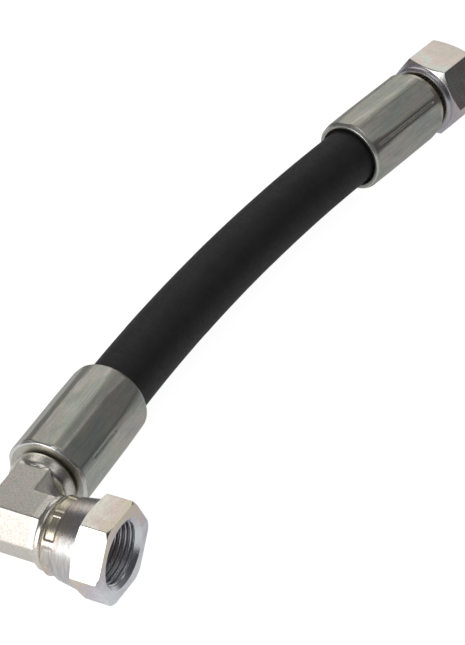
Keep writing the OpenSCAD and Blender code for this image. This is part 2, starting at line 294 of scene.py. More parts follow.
class Shader:
    """A node material around one Principled shader."""

    def __init__(self, name):
        self.material = bpy.data.materials.new(name)
        self.material.use_nodes = True
        self.nodes = self.material.node_tree.nodes
        self.links = self.material.node_tree.links
        self.principled = self.nodes["Principled BSDF"]

    def node(self, kind, **settings):
        """A new node with its properties set. The other methods return an output socket."""
        made = self.nodes.new(kind)
        for key, value in settings.items():
            setattr(made, key, value)
        return made

    def plug(self, socket, value):
        """Links a socket to another, or sets its value."""
        if isinstance(value, bpy.types.NodeSocket):
            self.links.new(value, socket)
        else:
            socket.default_value = value

    def local(self, scale=(1, 1, 1)):
        """The piece's own coordinates in millimetres, scaled."""
        where = self.node("ShaderNodeAttribute", attribute_name="local").outputs["Vector"]
        return self.scaled(where, scale)

    def place(self):
        """The same for a CAD node, which holds no stored coordinates."""
        where = self.node("ShaderNodeTexCoord").outputs["Object"]
        return self.scaled(where, (1 / MM, 1 / MM, 1 / MM))

    def scaled(self, vector, scale):
        mapping = self.node("ShaderNodeMapping", vector_type="POINT")
        self.plug(mapping.inputs["Vector"], vector)
        mapping.inputs["Scale"].default_value = scale
        return mapping.outputs["Vector"]

    def noise(self, vector, scale, detail=3.0, roughness=0.55, distortion=0.0):
        made = self.node("ShaderNodeTexNoise")
        self.plug(made.inputs["Vector"], vector)
        made.inputs["Scale"].default_value = scale
        made.inputs["Detail"].default_value = detail
        made.inputs["Roughness"].default_value = roughness
        made.inputs["Distortion"].default_value = distortion
        return made.outputs["Fac"]

    def cells(self, vector, scale):
        made = self.node("ShaderNodeTexVoronoi")
        self.plug(made.inputs["Vector"], vector)
        made.inputs["Scale"].default_value = scale
        return made.outputs["Distance"]

    def ramp(self, value, stops):
        """Colours along a value. stops are (position, colour), from the lowest position up."""
        made = self.node("ShaderNodeValToRGB")
        elements = made.color_ramp.elements
        elements.remove(elements[-1])
        elements[0].position = stops[0][0]
        elements[0].color = (*stops[0][1], 1)
        for position, tone in stops[1:]:
            elements.new(position).color = (*tone, 1)
        self.plug(made.inputs["Fac"], value)
        return made.outputs["Color"]

    def math(self, operation, a, b=0.0):
        made = self.node("ShaderNodeMath", operation=operation)
        self.plug(made.inputs[0], a)
        self.plug(made.inputs[1], b)
        return made.outputs[0]

    def between(self, value, low, high, to_low=0.0, to_high=1.0):
        """Maps low to to_low and high to to_high, and holds the ends beyond them."""
        made = self.node("ShaderNodeMapRange", clamp=True)
        self.plug(made.inputs["Value"], value)
        made.inputs["From Min"].default_value = low
        made.inputs["From Max"].default_value = high
        made.inputs["To Min"].default_value = to_low
        made.inputs["To Max"].default_value = to_high
        return made.outputs["Result"]

    def mix(self, factor, a, b, blend_type="MIX"):
        made = self.node("ShaderNodeMix", data_type="RGBA", blend_type=blend_type)
        self.plug(made.inputs[0], factor)
        self.plug(made.inputs[6], a)
        self.plug(made.inputs[7], b)
        return made.outputs[2]

    def from_axis(self):
        """Millimetres from the piece's own axis."""
        made = self.node("ShaderNodeVectorMath", operation="LENGTH")
        self.plug(made.inputs[0], self.local((1, 1, 0)))
        return made.outputs["Value"]

    def axis(self, vector, letter):
        made = self.node("ShaderNodeSeparateXYZ")
        self.plug(made.inputs[0], vector)
        return made.outputs[letter]

    def bump(self, height, distance, strength=1.0, under=None):
        made = self.node("ShaderNodeBump")
        made.inputs["Strength"].default_value = strength
        made.inputs["Distance"].default_value = distance
        self.plug(made.inputs["Height"], height)
        if under is not None:
            self.plug(made.inputs["Normal"], under)
        return made.outputs["Normal"]

    def finish(self, **sockets):
        """Sets the Principled shader's sockets, named with _ for a space, and returns the material."""
        for name, value in sockets.items():
            self.plug(self.principled.inputs[name.replace("_", " ")], value)
        return self.material


def colour(r, g, b):
    return (r, g, b, 1)


# ---------------------------------------------------------------- materials

FINE_GRAIN = 0.02 * MM
WEAVE_DEPTH = 0.05 * MM
WIRE_DEPTH = 0.03 * MM


def hose_rubber():
    """Cover rubber, cured under a spiral cloth wrap: matte, mottled, with a faint weave and pale dust."""
    mat = Shader("hose_rubber")
    where = mat.local()
    black = mat.ramp(mat.noise(where, 0.16, detail=5),
                     [(0.3, (0.0165, 0.0165, 0.018)), (0.7, (0.027, 0.0265, 0.028))])
    dust = mat.between(mat.noise(where, 2.4, detail=3), 0.5, 0.8, 0.0, 0.35)
    dusty = mat.mix(dust, black, colour(0.035, 0.034, 0.034))
    specks = mat.between(mat.cells(where, 0.55), 0.0, 0.09, 1.0, 0.0)
    speckled = mat.mix(mat.math("MULTIPLY", specks, 0.35), dusty, colour(0.05, 0.049, 0.048))
    rough = mat.between(mat.noise(where, 0.7, detail=4), 0.3, 0.7, 0.5, 0.66)
    weave = mat.noise(mat.local((1, 1, 0.35)), 3.2, detail=2, roughness=0.7)
    woven = mat.bump(weave, WEAVE_DEPTH, 0.5)
    grain = mat.bump(mat.noise(where, 7.0, detail=3), FINE_GRAIN, 0.6, under=woven)
    return mat.finish(Base_Color=speckled, Roughness=rough, Normal=grain, Specular_IOR_Level=0.42)


def layer_rubber():
    """The rubber between and under the braids."""
    mat = Shader("layer_rubber")
    where = mat.local()
    tone = mat.ramp(mat.noise(where, 0.8, detail=4),
                    [(0.3, (0.014, 0.014, 0.014)), (0.7, (0.022, 0.021, 0.02))])
    rough = mat.between(mat.noise(where, 2.0), 0.3, 0.7, 0.45, 0.6)
    grain = mat.bump(mat.noise(where, 5.0), FINE_GRAIN, 0.5)
    return mat.finish(Base_Color=tone, Roughness=rough, Normal=grain)


def seal_rubber():
    """The O-rings, which are CAD nodes: near black and slightly glossy."""
    mat = Shader("seal_rubber")
    where = mat.place()
    tone = mat.ramp(mat.noise(where, 0.9, detail=4),
                    [(0.3, (0.015, 0.015, 0.01575)), (0.7, (0.02, 0.02, 0.021))])
    rough = mat.between(mat.noise(where, 2.2), 0.3, 0.7, 0.32, 0.48)
    grain = mat.bump(mat.noise(where, 6.0, detail=3), FINE_GRAIN, 0.5)
    return mat.finish(Base_Color=tone, Roughness=rough, Normal=grain)


def braze_metal():
    """The braze rings, which are CAD nodes: plated over, with a brassy tone."""
    mat = Shader("braze_metal")
    where = mat.place()
    tone = mat.ramp(mat.noise(where, 0.3, detail=4), [(0.3, (0.528, 0.496, 0.4)), (0.7, (0.66, 0.62, 0.5))])
    rough = mat.between(mat.noise(where, 1.8), 0.3, 0.7, 0.33, 0.47)
    grain = mat.bump(mat.noise(where, 4.0, detail=3), FINE_GRAIN, 0.4)
    return mat.finish(Base_Color=tone, Metallic=1.0, Roughness=rough, Normal=grain)


def braid_metal():
    """Fine wires lying side by side in two crossing spirals."""
    mat = Shader("braid_metal")
    where = mat.local()
    tone = mat.ramp(mat.noise(where, 1.2, detail=4), [(0.3, (0.42, 0.38, 0.28)), (0.7, (0.62, 0.57, 0.44))])
    wires = mat.noise(mat.local((1, 1, 0.6)), 5.0, detail=2)
    rough = mat.between(wires, 0.3, 0.7, 0.3, 0.5)
    return mat.finish(Base_Color=tone, Metallic=1.0, Roughness=rough, Normal=mat.bump(wires, WIRE_DEPTH, 0.6))


# Tints of zinc plating and its passivation, with a painted highlight and a dark tone for marks, pits and painted
# shade
GREY = (0.60, 0.61, 0.58)
# near white: a painted highlight for the ferrules' rims
PAINTED_HIGHLIGHT = (0.98, 0.98, 0.97)
WARM = (0.73, 0.70, 0.62)
STRAW = (0.84, 0.78, 0.60)
ROSE = (0.86, 0.74, 0.68)
LILAC = (0.74, 0.71, 0.76)
ICE = (0.91, 0.94, 0.98)
GREEN = (0.62, 0.66, 0.58)
PALE = (0.80, 0.80, 0.78)
PALE_LILAC = (0.84, 0.82, 0.86)
PALE_GREEN = (0.78, 0.85, 0.77)
PALE_ROSE = (0.92, 0.84, 0.80)
CREAM = (0.95, 0.93, 0.83)
# darkens tool marks and pits, and is also the tone of painted shade where dark is given
SOOT_AND_SHADE = (0.36, 0.36, 0.35)
DUST = (0.46, 0.44, 0.41)

# How noise is squeezed along x, y and z to give the marks of a piece's making
LENGTHWISE = (1, 1, 0.05)
ROUND_AND_ROUND = (0.12, 0.12, 1.6)
NO_WAY = (1, 1, 1)


def zinc(mat, drift, tints, streak, roughness, streaks=0.4, speckle=0.25, bump=0.02, marked=1.0, dark=None,
         smoother=0.0):
    """Zinc-plated steel with passivation tints along drift. streak squeezes noise into the marks of its
    making. marked, dark and smoother, from 0 to 1, say where those marks are, where painted shade
    darkens the plating, and how much is taken off the roughness."""
    where = mat.local()
    marks = mat.noise(mat.local(streak), 1.6, detail=5, roughness=0.65)
    fine_marks = mat.noise(mat.local(streak), 6.0, detail=3, roughness=0.6)
    grains = mat.noise(where, 2.6, detail=4, roughness=0.7)
    shade = mat.math("MULTIPLY", mat.between(marks, 0.35, 0.7, 0.0, streaks), marked)
    worn = mat.mix(shade, mat.ramp(drift, tints), colour(*SOOT_AND_SHADE), "MULTIPLY")
    dusty = mat.math("MULTIPLY", mat.between(grains, 0.42, 0.72), speckle)
    speckled = mat.mix(dusty, worn, colour(*DUST), "MULTIPLY")
    pits = mat.math("MULTIPLY", mat.between(mat.cells(where, 1.1), 0.02, 0.16, 1.0, 0.0), speckle)
    plating = mat.mix(pits, speckled, colour(*SOOT_AND_SHADE), "MULTIPLY")
    # painted shade: where dark is high the plating is darkened as if in shadow
    if dark is not None:
        plating = mat.mix(dark, plating, colour(*SOOT_AND_SHADE), "MULTIPLY")
    rough = mat.math("ADD", mat.between(marks, 0.3, 0.7, roughness - 0.06, roughness + 0.06),
                     mat.between(grains, 0.3, 0.7, -0.03, 0.05))
    rough = mat.math("SUBTRACT", rough, smoother)
    scratches = mat.bump(mat.math("MULTIPLY", fine_marks, marked), bump * MM, 0.6)
    skin = mat.bump(mat.noise(where, 4.0, detail=3), FINE_GRAIN, 0.4, under=scratches)
    return mat.finish(Base_Color=plating, Metallic=1.0, Roughness=rough, Normal=skin)


def ferrule_metal():
    """Crimped sleeve: greyish green plating in patches, rubbed lengthwise by the dies, with painted highlights
    along the rims.
    """
    mat = Shader("ferrule_metal")
    flat_r = FERRULE_FLAT_R / MM
    half = ferrule_length / MM / 2
    patches = mat.noise(mat.local((1, 1, 0.5)), 0.12, detail=4, roughness=0.6, distortion=0.8)
    # painted highlight: the outer edge near each end is tinted near white and made a little smoother
    outermost = mat.between(mat.from_axis(), flat_r - 1.0, flat_r - 0.6)
    from_middle = mat.math("ABSOLUTE", mat.math("SUBTRACT", mat.axis(mat.local(), "Z"), half))
    near_end = mat.between(from_middle, half - 0.75, half - 0.45)
    rim_highlight = mat.math("MULTIPLY", outermost, near_end)
    tints = [(0.3, GREY), (0.45, WARM), (0.55, GREEN), (0.7, GREY), (1.0, PAINTED_HIGHLIGHT)]
    return zinc(mat, mat.math("ADD", patches, rim_highlight), tints, LENGTHWISE, 0.36, streaks=0.36, speckle=0.42,
                bump=0.025, smoother=mat.math("MULTIPLY", rim_highlight, 0.12))


TINT_REACH = 24
ELBOW_NUT_TINTS = [(0.2, STRAW), (0.27, ROSE), (0.34, PALE), (0.48, PALE_LILAC), (0.6, CREAM), (0.68, ROSE),
                   (0.73, STRAW), (0.78, ROSE), (0.86, LILAC), (0.92, PALE_LILAC), (1.0, ICE)]
STRAIGHT_NUT_TINTS = [(0.42, PALE_LILAC), (0.55, LILAC), (0.66, ROSE), (0.74, PALE_GREEN), (0.82, ROSE),
                      (1.0, WARM)]


def nut_metal(hex_start, tints):
    """Tinted from the back of the nut to its front face, with tool marks where it was turned. Its tint also shifts
    from top to bottom as painted shading, and the bore is tinted paler as painted light.
    """
    mat = Shader("nut_metal")
    where = mat.local()
    hex_from = hex_start / MM
    mouth_r = MOUTH_R / MM
    flat_r = NUT_FLAT_R / MM
    behind_hex = mat.between(mat.axis(where, "Z"), hex_from - 0.2, hex_from + 0.2, 1.0, 0.0)
    bore = mat.between(mat.from_axis(), mouth_r + 0.1, mouth_r + 0.3, 1.0, 0.0)
    patches = mat.noise(where, 0.11, detail=4, roughness=0.6, distortion=0.8)
    shares = [
        mat.between(mat.axis(where, "Z"), 0, TINT_REACH, 0.0, 0.4),
        mat.math("MULTIPLY", patches, 0.5),
        # painted shading: the tint shifts from the top of the nut to its bottom, along its local y
        mat.between(mat.axis(where, "Y"), -flat_r, flat_r, 0.14, -0.14),
        mat.between(behind_hex, 0, 1, 0.25, 0.0),
        # painted light: the bore is tinted paler
        mat.math("MULTIPLY", bore, 0.12),
    ]
    drift = shares[0]
    for share in shares[1:]:
        drift = mat.math("ADD", drift, share)
    return zinc(mat, drift, tints, ROUND_AND_ROUND, 0.27, streaks=0.6, speckle=0.3, bump=0.05,
                marked=behind_hex)


BLOCK_TINTS = [(0.36, PALE_GREEN), (0.44, CREAM), (0.5, PALE_ROSE), (0.57, CREAM), (0.66, PALE)]
# Where forging gives way to turning, in millimetres along each leg
COLLAR_STARTS = (14.7, 15.2)
FLANGE_STARTS = (11.0, 11.6)


def block_metal():
    """Forged and blasted before plating: rough, with small tinted flecks. Its collar and flange are turned,
    and painted shade darkens the corner between its legs. Places are in millimetres from the corner of the two
    axes."""
    mat = Shader("block_metal")
    where = mat.local()
    along_leg = mat.axis(where, "Y")
    across = mat.axis(where, "X")
    flecks = mat.noise(where, 0.42, detail=7, roughness=0.8)
    turned_part = mat.math("MAXIMUM", mat.between(along_leg, *COLLAR_STARTS),
                           mat.between(across, *FLANGE_STARTS))
    # painted shade in the corner between the two legs, fading out before the collar
    painted_corner_shade = mat.math("MULTIPLY", mat.between(along_leg, 10.6, 11.8), mat.between(across, 6.5, 8.0))
    painted_corner_shade = mat.math("MULTIPLY", painted_corner_shade, mat.between(along_leg, 14.6, 14.9, 0.85, 0.0))
    return zinc(mat, flecks, BLOCK_TINTS, NO_WAY, 0.4, speckle=mat.between(turned_part, 0, 1, 0.5, 0.12),
                bump=0.05, dark=painted_corner_shade, smoother=mat.math("MULTIPLY", turned_part, 0.2))


def turned_metal():
    """Bar stock turned all over."""
    mat = Shader("turned_metal")
    patches = mat.noise(mat.local(), 0.15, detail=4)
    return zinc(mat, patches, [(0.3, GREEN), (0.5, STRAW), (0.7, GREY)], ROUND_AND_ROUND, 0.3)


def finished(piece, material, slot, *nodes):
    """Gives a piece its material, and hides the CAD nodes that it stands for. slot is not used."""
    piece.data.materials.clear()
    piece.data.materials.append(material)
    if nodes:
        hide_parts(*nodes)
    return piece


# ---------------------------------------------------------------- the hose

COVER_RINGS = 310
BRAID_RINGS = 340
RUBBER_RINGS = 140
WRAP_WIDTH = 46 * MM
WRAP_STEP = 0.05 * MM
BRAID_STRANDS = 12
BRAID_R = 9 * MM
BRAID_ANGLE = math.radians(54.7)
BRAID_WAVE = 0.12 * MM
BRAID_SINK = 0.14 * MM
gripped_length = ferrule_length - hose_stop


def hose_point(distance):
    """A point on the hose's centreline and its direction. Distance 0 is the elbow ferrule's mouth."""
    if distance <= 0:
        return elbow_mouth + Vector((0, distance, 0)), Vector((0, 1, 0))
    if distance >= free_length:
        return straight_mouth + straight_axis * (distance - free_length), straight_axis
    turn = distance / arc_radius
    there = arc_centre + arc_radius * Vector((-math.cos(turn), math.sin(turn), 0))
    return there, Vector((math.sin(turn), math.cos(turn), 0))


def hose_tube(name, inner, outer, rings, around, relief=None):
    """A tube along the whole hose, closed at both ends. inner and outer give its radius at a distance."""
    distances = np.linspace(-gripped_length, free_length + gripped_length, rings)
    angles = np.linspace(0, 2 * math.pi, around, endpoint=False)
    rows, local = [], []
    for wall, order in ((outer, distances), (inner, distances[::-1])):
        for distance in order:
            centre, ahead = hose_point(float(distance))
            side = Vector((ahead.y, -ahead.x, 0))
            radius = np.full(around, wall(distance))
            if relief is not None and wall is outer:
                radius = radius + relief(distance, angles)
            flat = np.array(centre) + np.outer(radius * np.cos(angles), np.array(side))
            rows.append(flat + np.outer(radius * np.sin(angles), (0, 0, 1)))
            local.append(np.stack([radius * np.cos(angles), radius * np.sin(angles),
                                   np.full(around, distance)], 1))
    return mesh_piece(name, np.concatenate(rows), grid_faces(2 * rings, around), np.concatenate(local))


def squeezed(free_r, gripped_r):
    """A layer's radius: its free size between the ferrules, and its squeezed size inside them."""
    def radius(distance):
        inside = max(-distance, distance - free_length)
        grip = float(smoothstep(-0.2 * MM, 0.8 * MM, inside))
        return free_r + (gripped_r - free_r) * grip
    return radius


def wrap_relief(distance, angles):
    """The curing cloth's spiral seam: a low step with a soft ridge at its edge."""
    turn = (distance / WRAP_WIDTH + angles / (2 * math.pi)) % 1
    step = WRAP_STEP * (smoothstep(0, 0.03, turn) - turn)
    return step - WRAP_STEP


# Radii of the hose's layers in millimetres, from the bore outwards: free, and gripped by the ferrules
LAYERS = [(6.35, 6.45), (8.2, 8.1), (8.95, 8.8), (9.35, 9.2), (10.1, 9.9), (11.5, 11.2)]
walls = [squeezed(free * MM, gripped * MM) for free, gripped in LAYERS]


def braid_relief(distance, angles):
    """Strands of wire that pass over and under each other in two crossing spirals."""
    turned_so_far = distance * math.tan(BRAID_ANGLE) / BRAID_R
    one = np.sin(BRAID_STRANDS * (angles + turned_so_far))
    other = np.sin(BRAID_STRANDS * (angles - turned_so_far))
    return BRAID_WAVE * one * other - BRAID_SINK


def bend_with_hose(piece):
    """Bakes a hose layer's placement into its mesh."""
    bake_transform(piece)


def make_hose():
    """The cover, which is the piece that the camera sees."""
    cover = hose_tube("hose_cover_rubber", walls[4], walls[5], COVER_RINGS, 160, wrap_relief)
    finished(cover, hose_rubber(), "cover_rubber", "hose_cover")
    bend_with_hose(cover)
    return cover


def make_inner_layers():
    """The layers under the cover, from the bore outwards."""
    dark = layer_rubber()
    wire = braid_metal()
    layers = [
        ("hose_inner_tube", dark, "inner_rubber", RUBBER_RINGS, None),
        ("hose_inner_braid", wire, "braid_wire", BRAID_RINGS, braid_relief),
        ("hose_middle_rubber", dark, "inner_rubber", RUBBER_RINGS, None),
        ("hose_outer_braid", wire, "braid_wire", BRAID_RINGS, braid_relief),
    ]
    for i, (name, material, slot, rings, relief) in enumerate(layers):
        layer = hose_tube(name + "_layer", walls[i], walls[i + 1], rings, 144, relief)
        finished(layer, material, slot, name)
        bend_with_hose(layer)


# ---------------------------------------------------------------- ferrules

FERRULE_SIDES = 8
FERRULE_SHARPNESS = 400
FERRULE_FLAT_R = 14.5 * MM
FERRULE_R = 15.1 * MM
FERRULE_MOUTH_R = 14.8 * MM
FACE_HOLE_R = 9.2 * MM
GRIP_R = 11.23 * MM
LIP_R = 7.4 * MM
EDGE_BEND = 0.9 * MM
CREASE_WIDTH = 0.24 * MM
ELBOW_RIDGE = -24
STRAIGHT_RIDGE = 34


def ferrule_corners():
    """(z, r, fillet) corners, from the face beside the fitting to the hose's mouth and back inside."""
    length = ferrule_length
    return [
        (0, FACE_HOLE_R, 0.25 * MM),
        (0, FERRULE_R - EDGE_BEND, 0.3 * MM),
        (EDGE_BEND, FERRULE_R, 0.6 * MM),
        (0.68 * length, FERRULE_R, 0),
        (length - 1.4 * MM, FERRULE_MOUTH_R, 1.6 * MM),
        (length, FERRULE_MOUTH_R - 1.2 * MM, 0.6 * MM),
        (length, GRIP_R + 1.4 * MM, 0.5 * MM),
        (length - 2 * MM, GRIP_R, 0.3 * MM),
        (5 * MM, GRIP_R, 0),
        (5 * MM, LIP_R, 0.2 * MM),
        (2 * MM, LIP_R, 0.2 * MM),
        (2 * MM, FACE_HOLE_R, 0),
    ]


def make_ferrule(name, place, ridge, crease, node, material):
    """Eight die flats with a narrow ridge between each two. ridge is one ridge's angle in degrees, and the
    dies leave a seam along it between the two places in crease."""
    low, high = crease
    first_flat = math.radians(ridge) + math.pi / FERRULE_SIDES
    angles = sector_angles(FERRULE_SIDES, 30, first_flat)
    flats = polygon_radius(angles, FERRULE_FLAT_R, FERRULE_SIDES, first_flat, FERRULE_SHARPNESS)

    def shape(z, r, angles):
        if r < FERRULE_FLAT_R - 1.5 * MM:
            return np.full(len(angles), r)
        radius = smooth_min(np.full(len(angles), r), flats, 0.12 * MM)
        away = (angles - math.radians(ridge) + math.pi) % (2 * math.pi) - math.pi
        seam = np.exp(-(away * FERRULE_R / CREASE_WIDTH) ** 2)
        groove = smoothstep(low, low + 0.4 * MM, z) * (1 - smoothstep(high - 0.4 * MM, high, z))
        burrs = math.exp(-((z - low) / (0.3 * MM)) ** 2) + math.exp(-((z - high) / (0.3 * MM)) ** 2)
        return radius - seam * (0.5 * groove - 0.25 * burrs) * MM

    piece = turned(name, place, outline(ferrule_corners(), 0.8 * MM), angles, shape)
    return finished(piece, material, "ferrule_zinc", node)


# ---------------------------------------------------------------- nuts

NUT_SHARPNESS = 260
NUT_FLAT_R = 15 * MM
NUT_CORNER_R = NUT_FLAT_R / math.cos(math.pi / 6)
REAR_HOLE_R = 8.6 * MM
SHOULDER_START = 4.3 * MM
RELIEF_R = 11.6 * MM
MOUTH_R = 11.95 * MM
BAND_R = 13.4 * MM
BAND_END = 5 * MM
LANDS = 8
LAND_DEPTH = 0.35 * MM
LAND_EDGES = (math.radians(17.2), math.radians(18.2))
LAND_FROM = (1.0 * MM, 1.25 * MM)
LAND_TO = (4.45 * MM, 4.7 * MM)
ELBOW_FLAT_ANGLE = 24.7
STRAIGHT_FLAT_ANGLE = 33
LAND_ANGLE = 125.9
thread_length = mounts["elbow_port"]["dims"]["length_mm"] * MM
mouth_depth = MOUTH_R - thread_minor_r


def thread_radius(z, angles, mouth):
    """A right-hand thread's wall, from its minor radius down to its root. It fades out inside the mouth."""
    phase = (z / THREAD_PITCH - angles / (2 * math.pi)) % 1
    depth = THREAD_DEPTH * float(1 - smoothstep(mouth - 1.7 * MM, mouth - 1.1 * MM, z))
    return thread_minor_r + depth * smoothstep(0.12, 0.88, 1 - np.abs(2 * phase - 1))


def nut_inside(length):
    """Corners from the mouth's edge back to the rear hole."""
    thread_end = length - mouth_depth
    thread_start = thread_end - thread_length
    return [
        (length, MOUTH_R, 0.15 * MM),
        (thread_end, thread_minor_r, 0),
        (thread_start, thread_minor_r, 0),
        (thread_start - 1 * MM, RELIEF_R, 0),
        (SHOULDER_START + RELIEF_R - REAR_HOLE_R, RELIEF_R, 0.3 * MM),
        (SHOULDER_START, REAR_HOLE_R, 0.2 * MM),
        (0, REAR_HOLE_R, 0.3 * MM),
    ]


def make_nut(name, place, outside, length, hex_start, flat_angle, node, tints, land_angle=None):
    """A hex nut with a turned outline and a cut thread. flat_angle is the angle of one flat, and land_angle
    the middle of one of the lands pressed into the band, if the nut has them, both in degrees."""
    first_flat = math.radians(flat_angle)
    angles = sector_angles(6, 50, first_flat)
    hexagon = polygon_radius(angles, NUT_FLAT_R, 6, first_flat, NUT_SHARPNESS)
    thread_start = length - mouth_depth - thread_length

    def shape(z, r, angles):
        radius = np.full(len(angles), r)
        if r > BAND_R - 0.9 * MM:
            radius = smooth_min(radius, hexagon, 0.25 * MM)
        elif z > thread_start:
            radius = np.maximum(radius, thread_radius(z, angles, length))
        if land_angle is not None and abs(r - BAND_R) < 0.02 * MM:
            away = (angles - math.radians(land_angle)) % (2 * math.pi / LANDS)
            away = np.minimum(away, 2 * math.pi / LANDS - away)
            across_land = 1 - smoothstep(*LAND_EDGES, away)
            along_land = smoothstep(*LAND_FROM, z) * (1 - smoothstep(*LAND_TO, z))
            radius = radius - LAND_DEPTH * across_land * along_land
        return radius

    corners = outside + nut_inside(length)
    piece = turned(name, place, outline(corners, 0.3 * MM), angles, shape)
    return finished(piece, nut_metal(hex_start, tints), "nut_zinc", node)


def make_elbow_nut():
    """The nut whose mouth the camera sees: a staked band, a cone, and the hexagon in front."""
    length = elbow_nut_length
    hex_start = length - 10.8 * MM
    outside = [
        (0, BAND_R - 0.7 * MM, 0.3 * MM),
        (0.7 * MM, BAND_R, 0.3 * MM),
        (BAND_END, BAND_R, 0),
        (BAND_END + 0.05 * MM, BAND_R + 0.45 * MM, 0.1 * MM),
        (hex_start, NUT_FLAT_R, 0),
        (hex_start + 0.9 * MM, NUT_CORNER_R + 0.1 * MM, 0.5 * MM),
        (length - 0.8 * MM, NUT_CORNER_R + 0.1 * MM, 0.3 * MM),
        (length, NUT_CORNER_R - 0.9 * MM, 0.3 * MM),
    ]
    return make_nut("elbow_swivel_nut_body", elbow_nut_place, outside, length, hex_start, ELBOW_FLAT_ANGLE,
                    "elbow_swivel_nut", ELBOW_NUT_TINTS, land_angle=LAND_ANGLE)


def make_straight_nut():
    """The far nut: a hexagon over nearly its whole length, with a rolled lip behind it."""
    length = straight_nut_length
    lip_r = 14.5 * MM
    hex_start = 2.8 * MM
    outside = [
        (0, lip_r - 1.5 * MM, 0.3 * MM),
        (0.05 * MM, lip_r - 0.9 * MM, 0.3 * MM),
        (0.9 * MM, lip_r, 1.1 * MM),
        (2.1 * MM, lip_r, 0.8 * MM),
        (2.5 * MM, lip_r - 0.15 * MM, 0.2 * MM),
        (hex_start, NUT_FLAT_R - 0.1 * MM, 0.2 * MM),
        (hex_start + 1.6 * MM, NUT_CORNER_R + 0.1 * MM, 0.5 * MM),
        (length - 1.5 * MM, NUT_CORNER_R + 0.1 * MM, 0.4 * MM),
        (length, NUT_FLAT_R - 0.1 * MM, 0.3 * MM),
    ]
    return make_nut("straight_swivel_nut_body", straight_nut_place, outside, length, hex_start,
                    STRAIGHT_FLAT_ANGLE, "straight_swivel_nut", STRAIGHT_NUT_TINTS)


# ---------------------------------------------------------------- fittings

PASSAGE_R = 4.75 * MM
SPIGOT_R = 7 * MM
SPIGOT_LENGTH = 6 * MM
TAIL_COLLAR_R = 8.6 * MM
TAIL_GROOVE_R = 7.3 * MM
TAIL_STOP_R = 8.4 * MM
BARB_R = 6.42 * MM
BARB_DEPTH = 0.45 * MM
BARB_WIDTH = 2.2 * MM
BARB_PITCH = 4.6 * MM
FIRST_BARB = 11.8 * MM
BARBS = 6
TAIL_END = 39 * MM
NECK_R = 8.3 * MM
NECK_LENGTH = 4.4 * MM
SHOULDER_R = 10.1 * MM
CONE_R = 9.6 * MM
CONE_START = 8.4 * MM
CONE_SLOPE = math.tan(math.radians(30))
SEAL_GROOVE = (9.45 * MM, 11.15 * MM)
SEAL_GROOVE_R = 7.0 * MM
NOSE_TIP = 12.2 * MM
straight_nut_gap = (straight_nut_place.origin - straight_hose_place.origin).dot(straight_axis)


def tail_corners():
    """The tail inside the hose, from the ferrule's face to its end: collar, groove, stop and barbs."""
    corners = [
        (0, TAIL_COLLAR_R, 0.1 * MM),
        (1.9 * MM, TAIL_COLLAR_R, 0.15 * MM),
        (1.9 * MM, TAIL_GROOVE_R, 0),
        (5.1 * MM, TAIL_GROOVE_R, 0),
        (5.1 * MM, TAIL_STOP_R, 0.15 * MM),
        (7 * MM, TAIL_STOP_R, 0.15 * MM),
        (7 * MM, BARB_R, 0),
    ]
    for i in range(BARBS):
        start = FIRST_BARB + BARB_PITCH * i
        end = start + BARB_WIDTH
        corners += [
            (start, BARB_R, 0.05 * MM),
            (start, BARB_R - BARB_DEPTH, 0),
            (end, BARB_R - BARB_DEPTH, 0),
            (end, BARB_R, 0.05 * MM),
        ]
    return corners + [(TAIL_END - 1.5 * MM, BARB_R, 0.2 * MM), (TAIL_END, BARB_R - 1 * MM, 0.2 * MM)]


def cone_r(z):
    return CONE_R - (z - CONE_START) * CONE_SLOPE


def nose_corners():
    """The cone nose in the nut, from its neck to its tip, with the seal's groove, and into the passage."""
    groove_low, groove_high = SEAL_GROOVE
    return [
        (NECK_LENGTH, NECK_R, 0.2 * MM),
        (6.2 * MM, SHOULDER_R, 0.15 * MM),
        (7.4 * MM, SHOULDER_R, 0.15 * MM),
        (7.9 * MM, CONE_R, 0.1 * MM),
        (CONE_START, CONE_R, 0.2 * MM),
        (groove_low, cone_r(groove_low), 0.03 * MM),
        (groove_low, SEAL_GROOVE_R, 0.03 * MM),
        (groove_high, SEAL_GROOVE_R, 0.03 * MM),
        (groove_high, cone_r(groove_high), 0.03 * MM),
        (NOSE_TIP, cone_r(NOSE_TIP), 0.2 * MM),
        (NOSE_TIP, PASSAGE_R, 0.3 * MM),
    ]


def make_hose_tail(material):
    corners = [(-SPIGOT_LENGTH, PASSAGE_R, 0.2 * MM), (-SPIGOT_LENGTH, SPIGOT_R, 0.2 * MM), (0, SPIGOT_R, 0)]
    corners += tail_corners()
    corners.append((TAIL_END, PASSAGE_R, 0.2 * MM))
    piece = turned("elbow_hose_tail_body", elbow_hose_place, outline(corners, 1.5 * MM), ROUND)
    return finished(piece, material, "turned_zinc", "elbow_hose_tail")


def make_cone_stub(material):
    back = -0.3 * MM - SPIGOT_LENGTH
    step = 0.5 * MM
    corners = [
        (back, PASSAGE_R, 0.2 * MM),
        (back, SPIGOT_R, 0.2 * MM),
        (step, SPIGOT_R, 0),
        (step, NECK_R, 0.1 * MM),
    ]
    corners += nose_corners()
    piece = turned("elbow_cone_stub_body", elbow_nut_place, outline(corners, 1.0 * MM), ROUND)
    return finished(piece, material, "turned_zinc", "elbow_cone_stub")


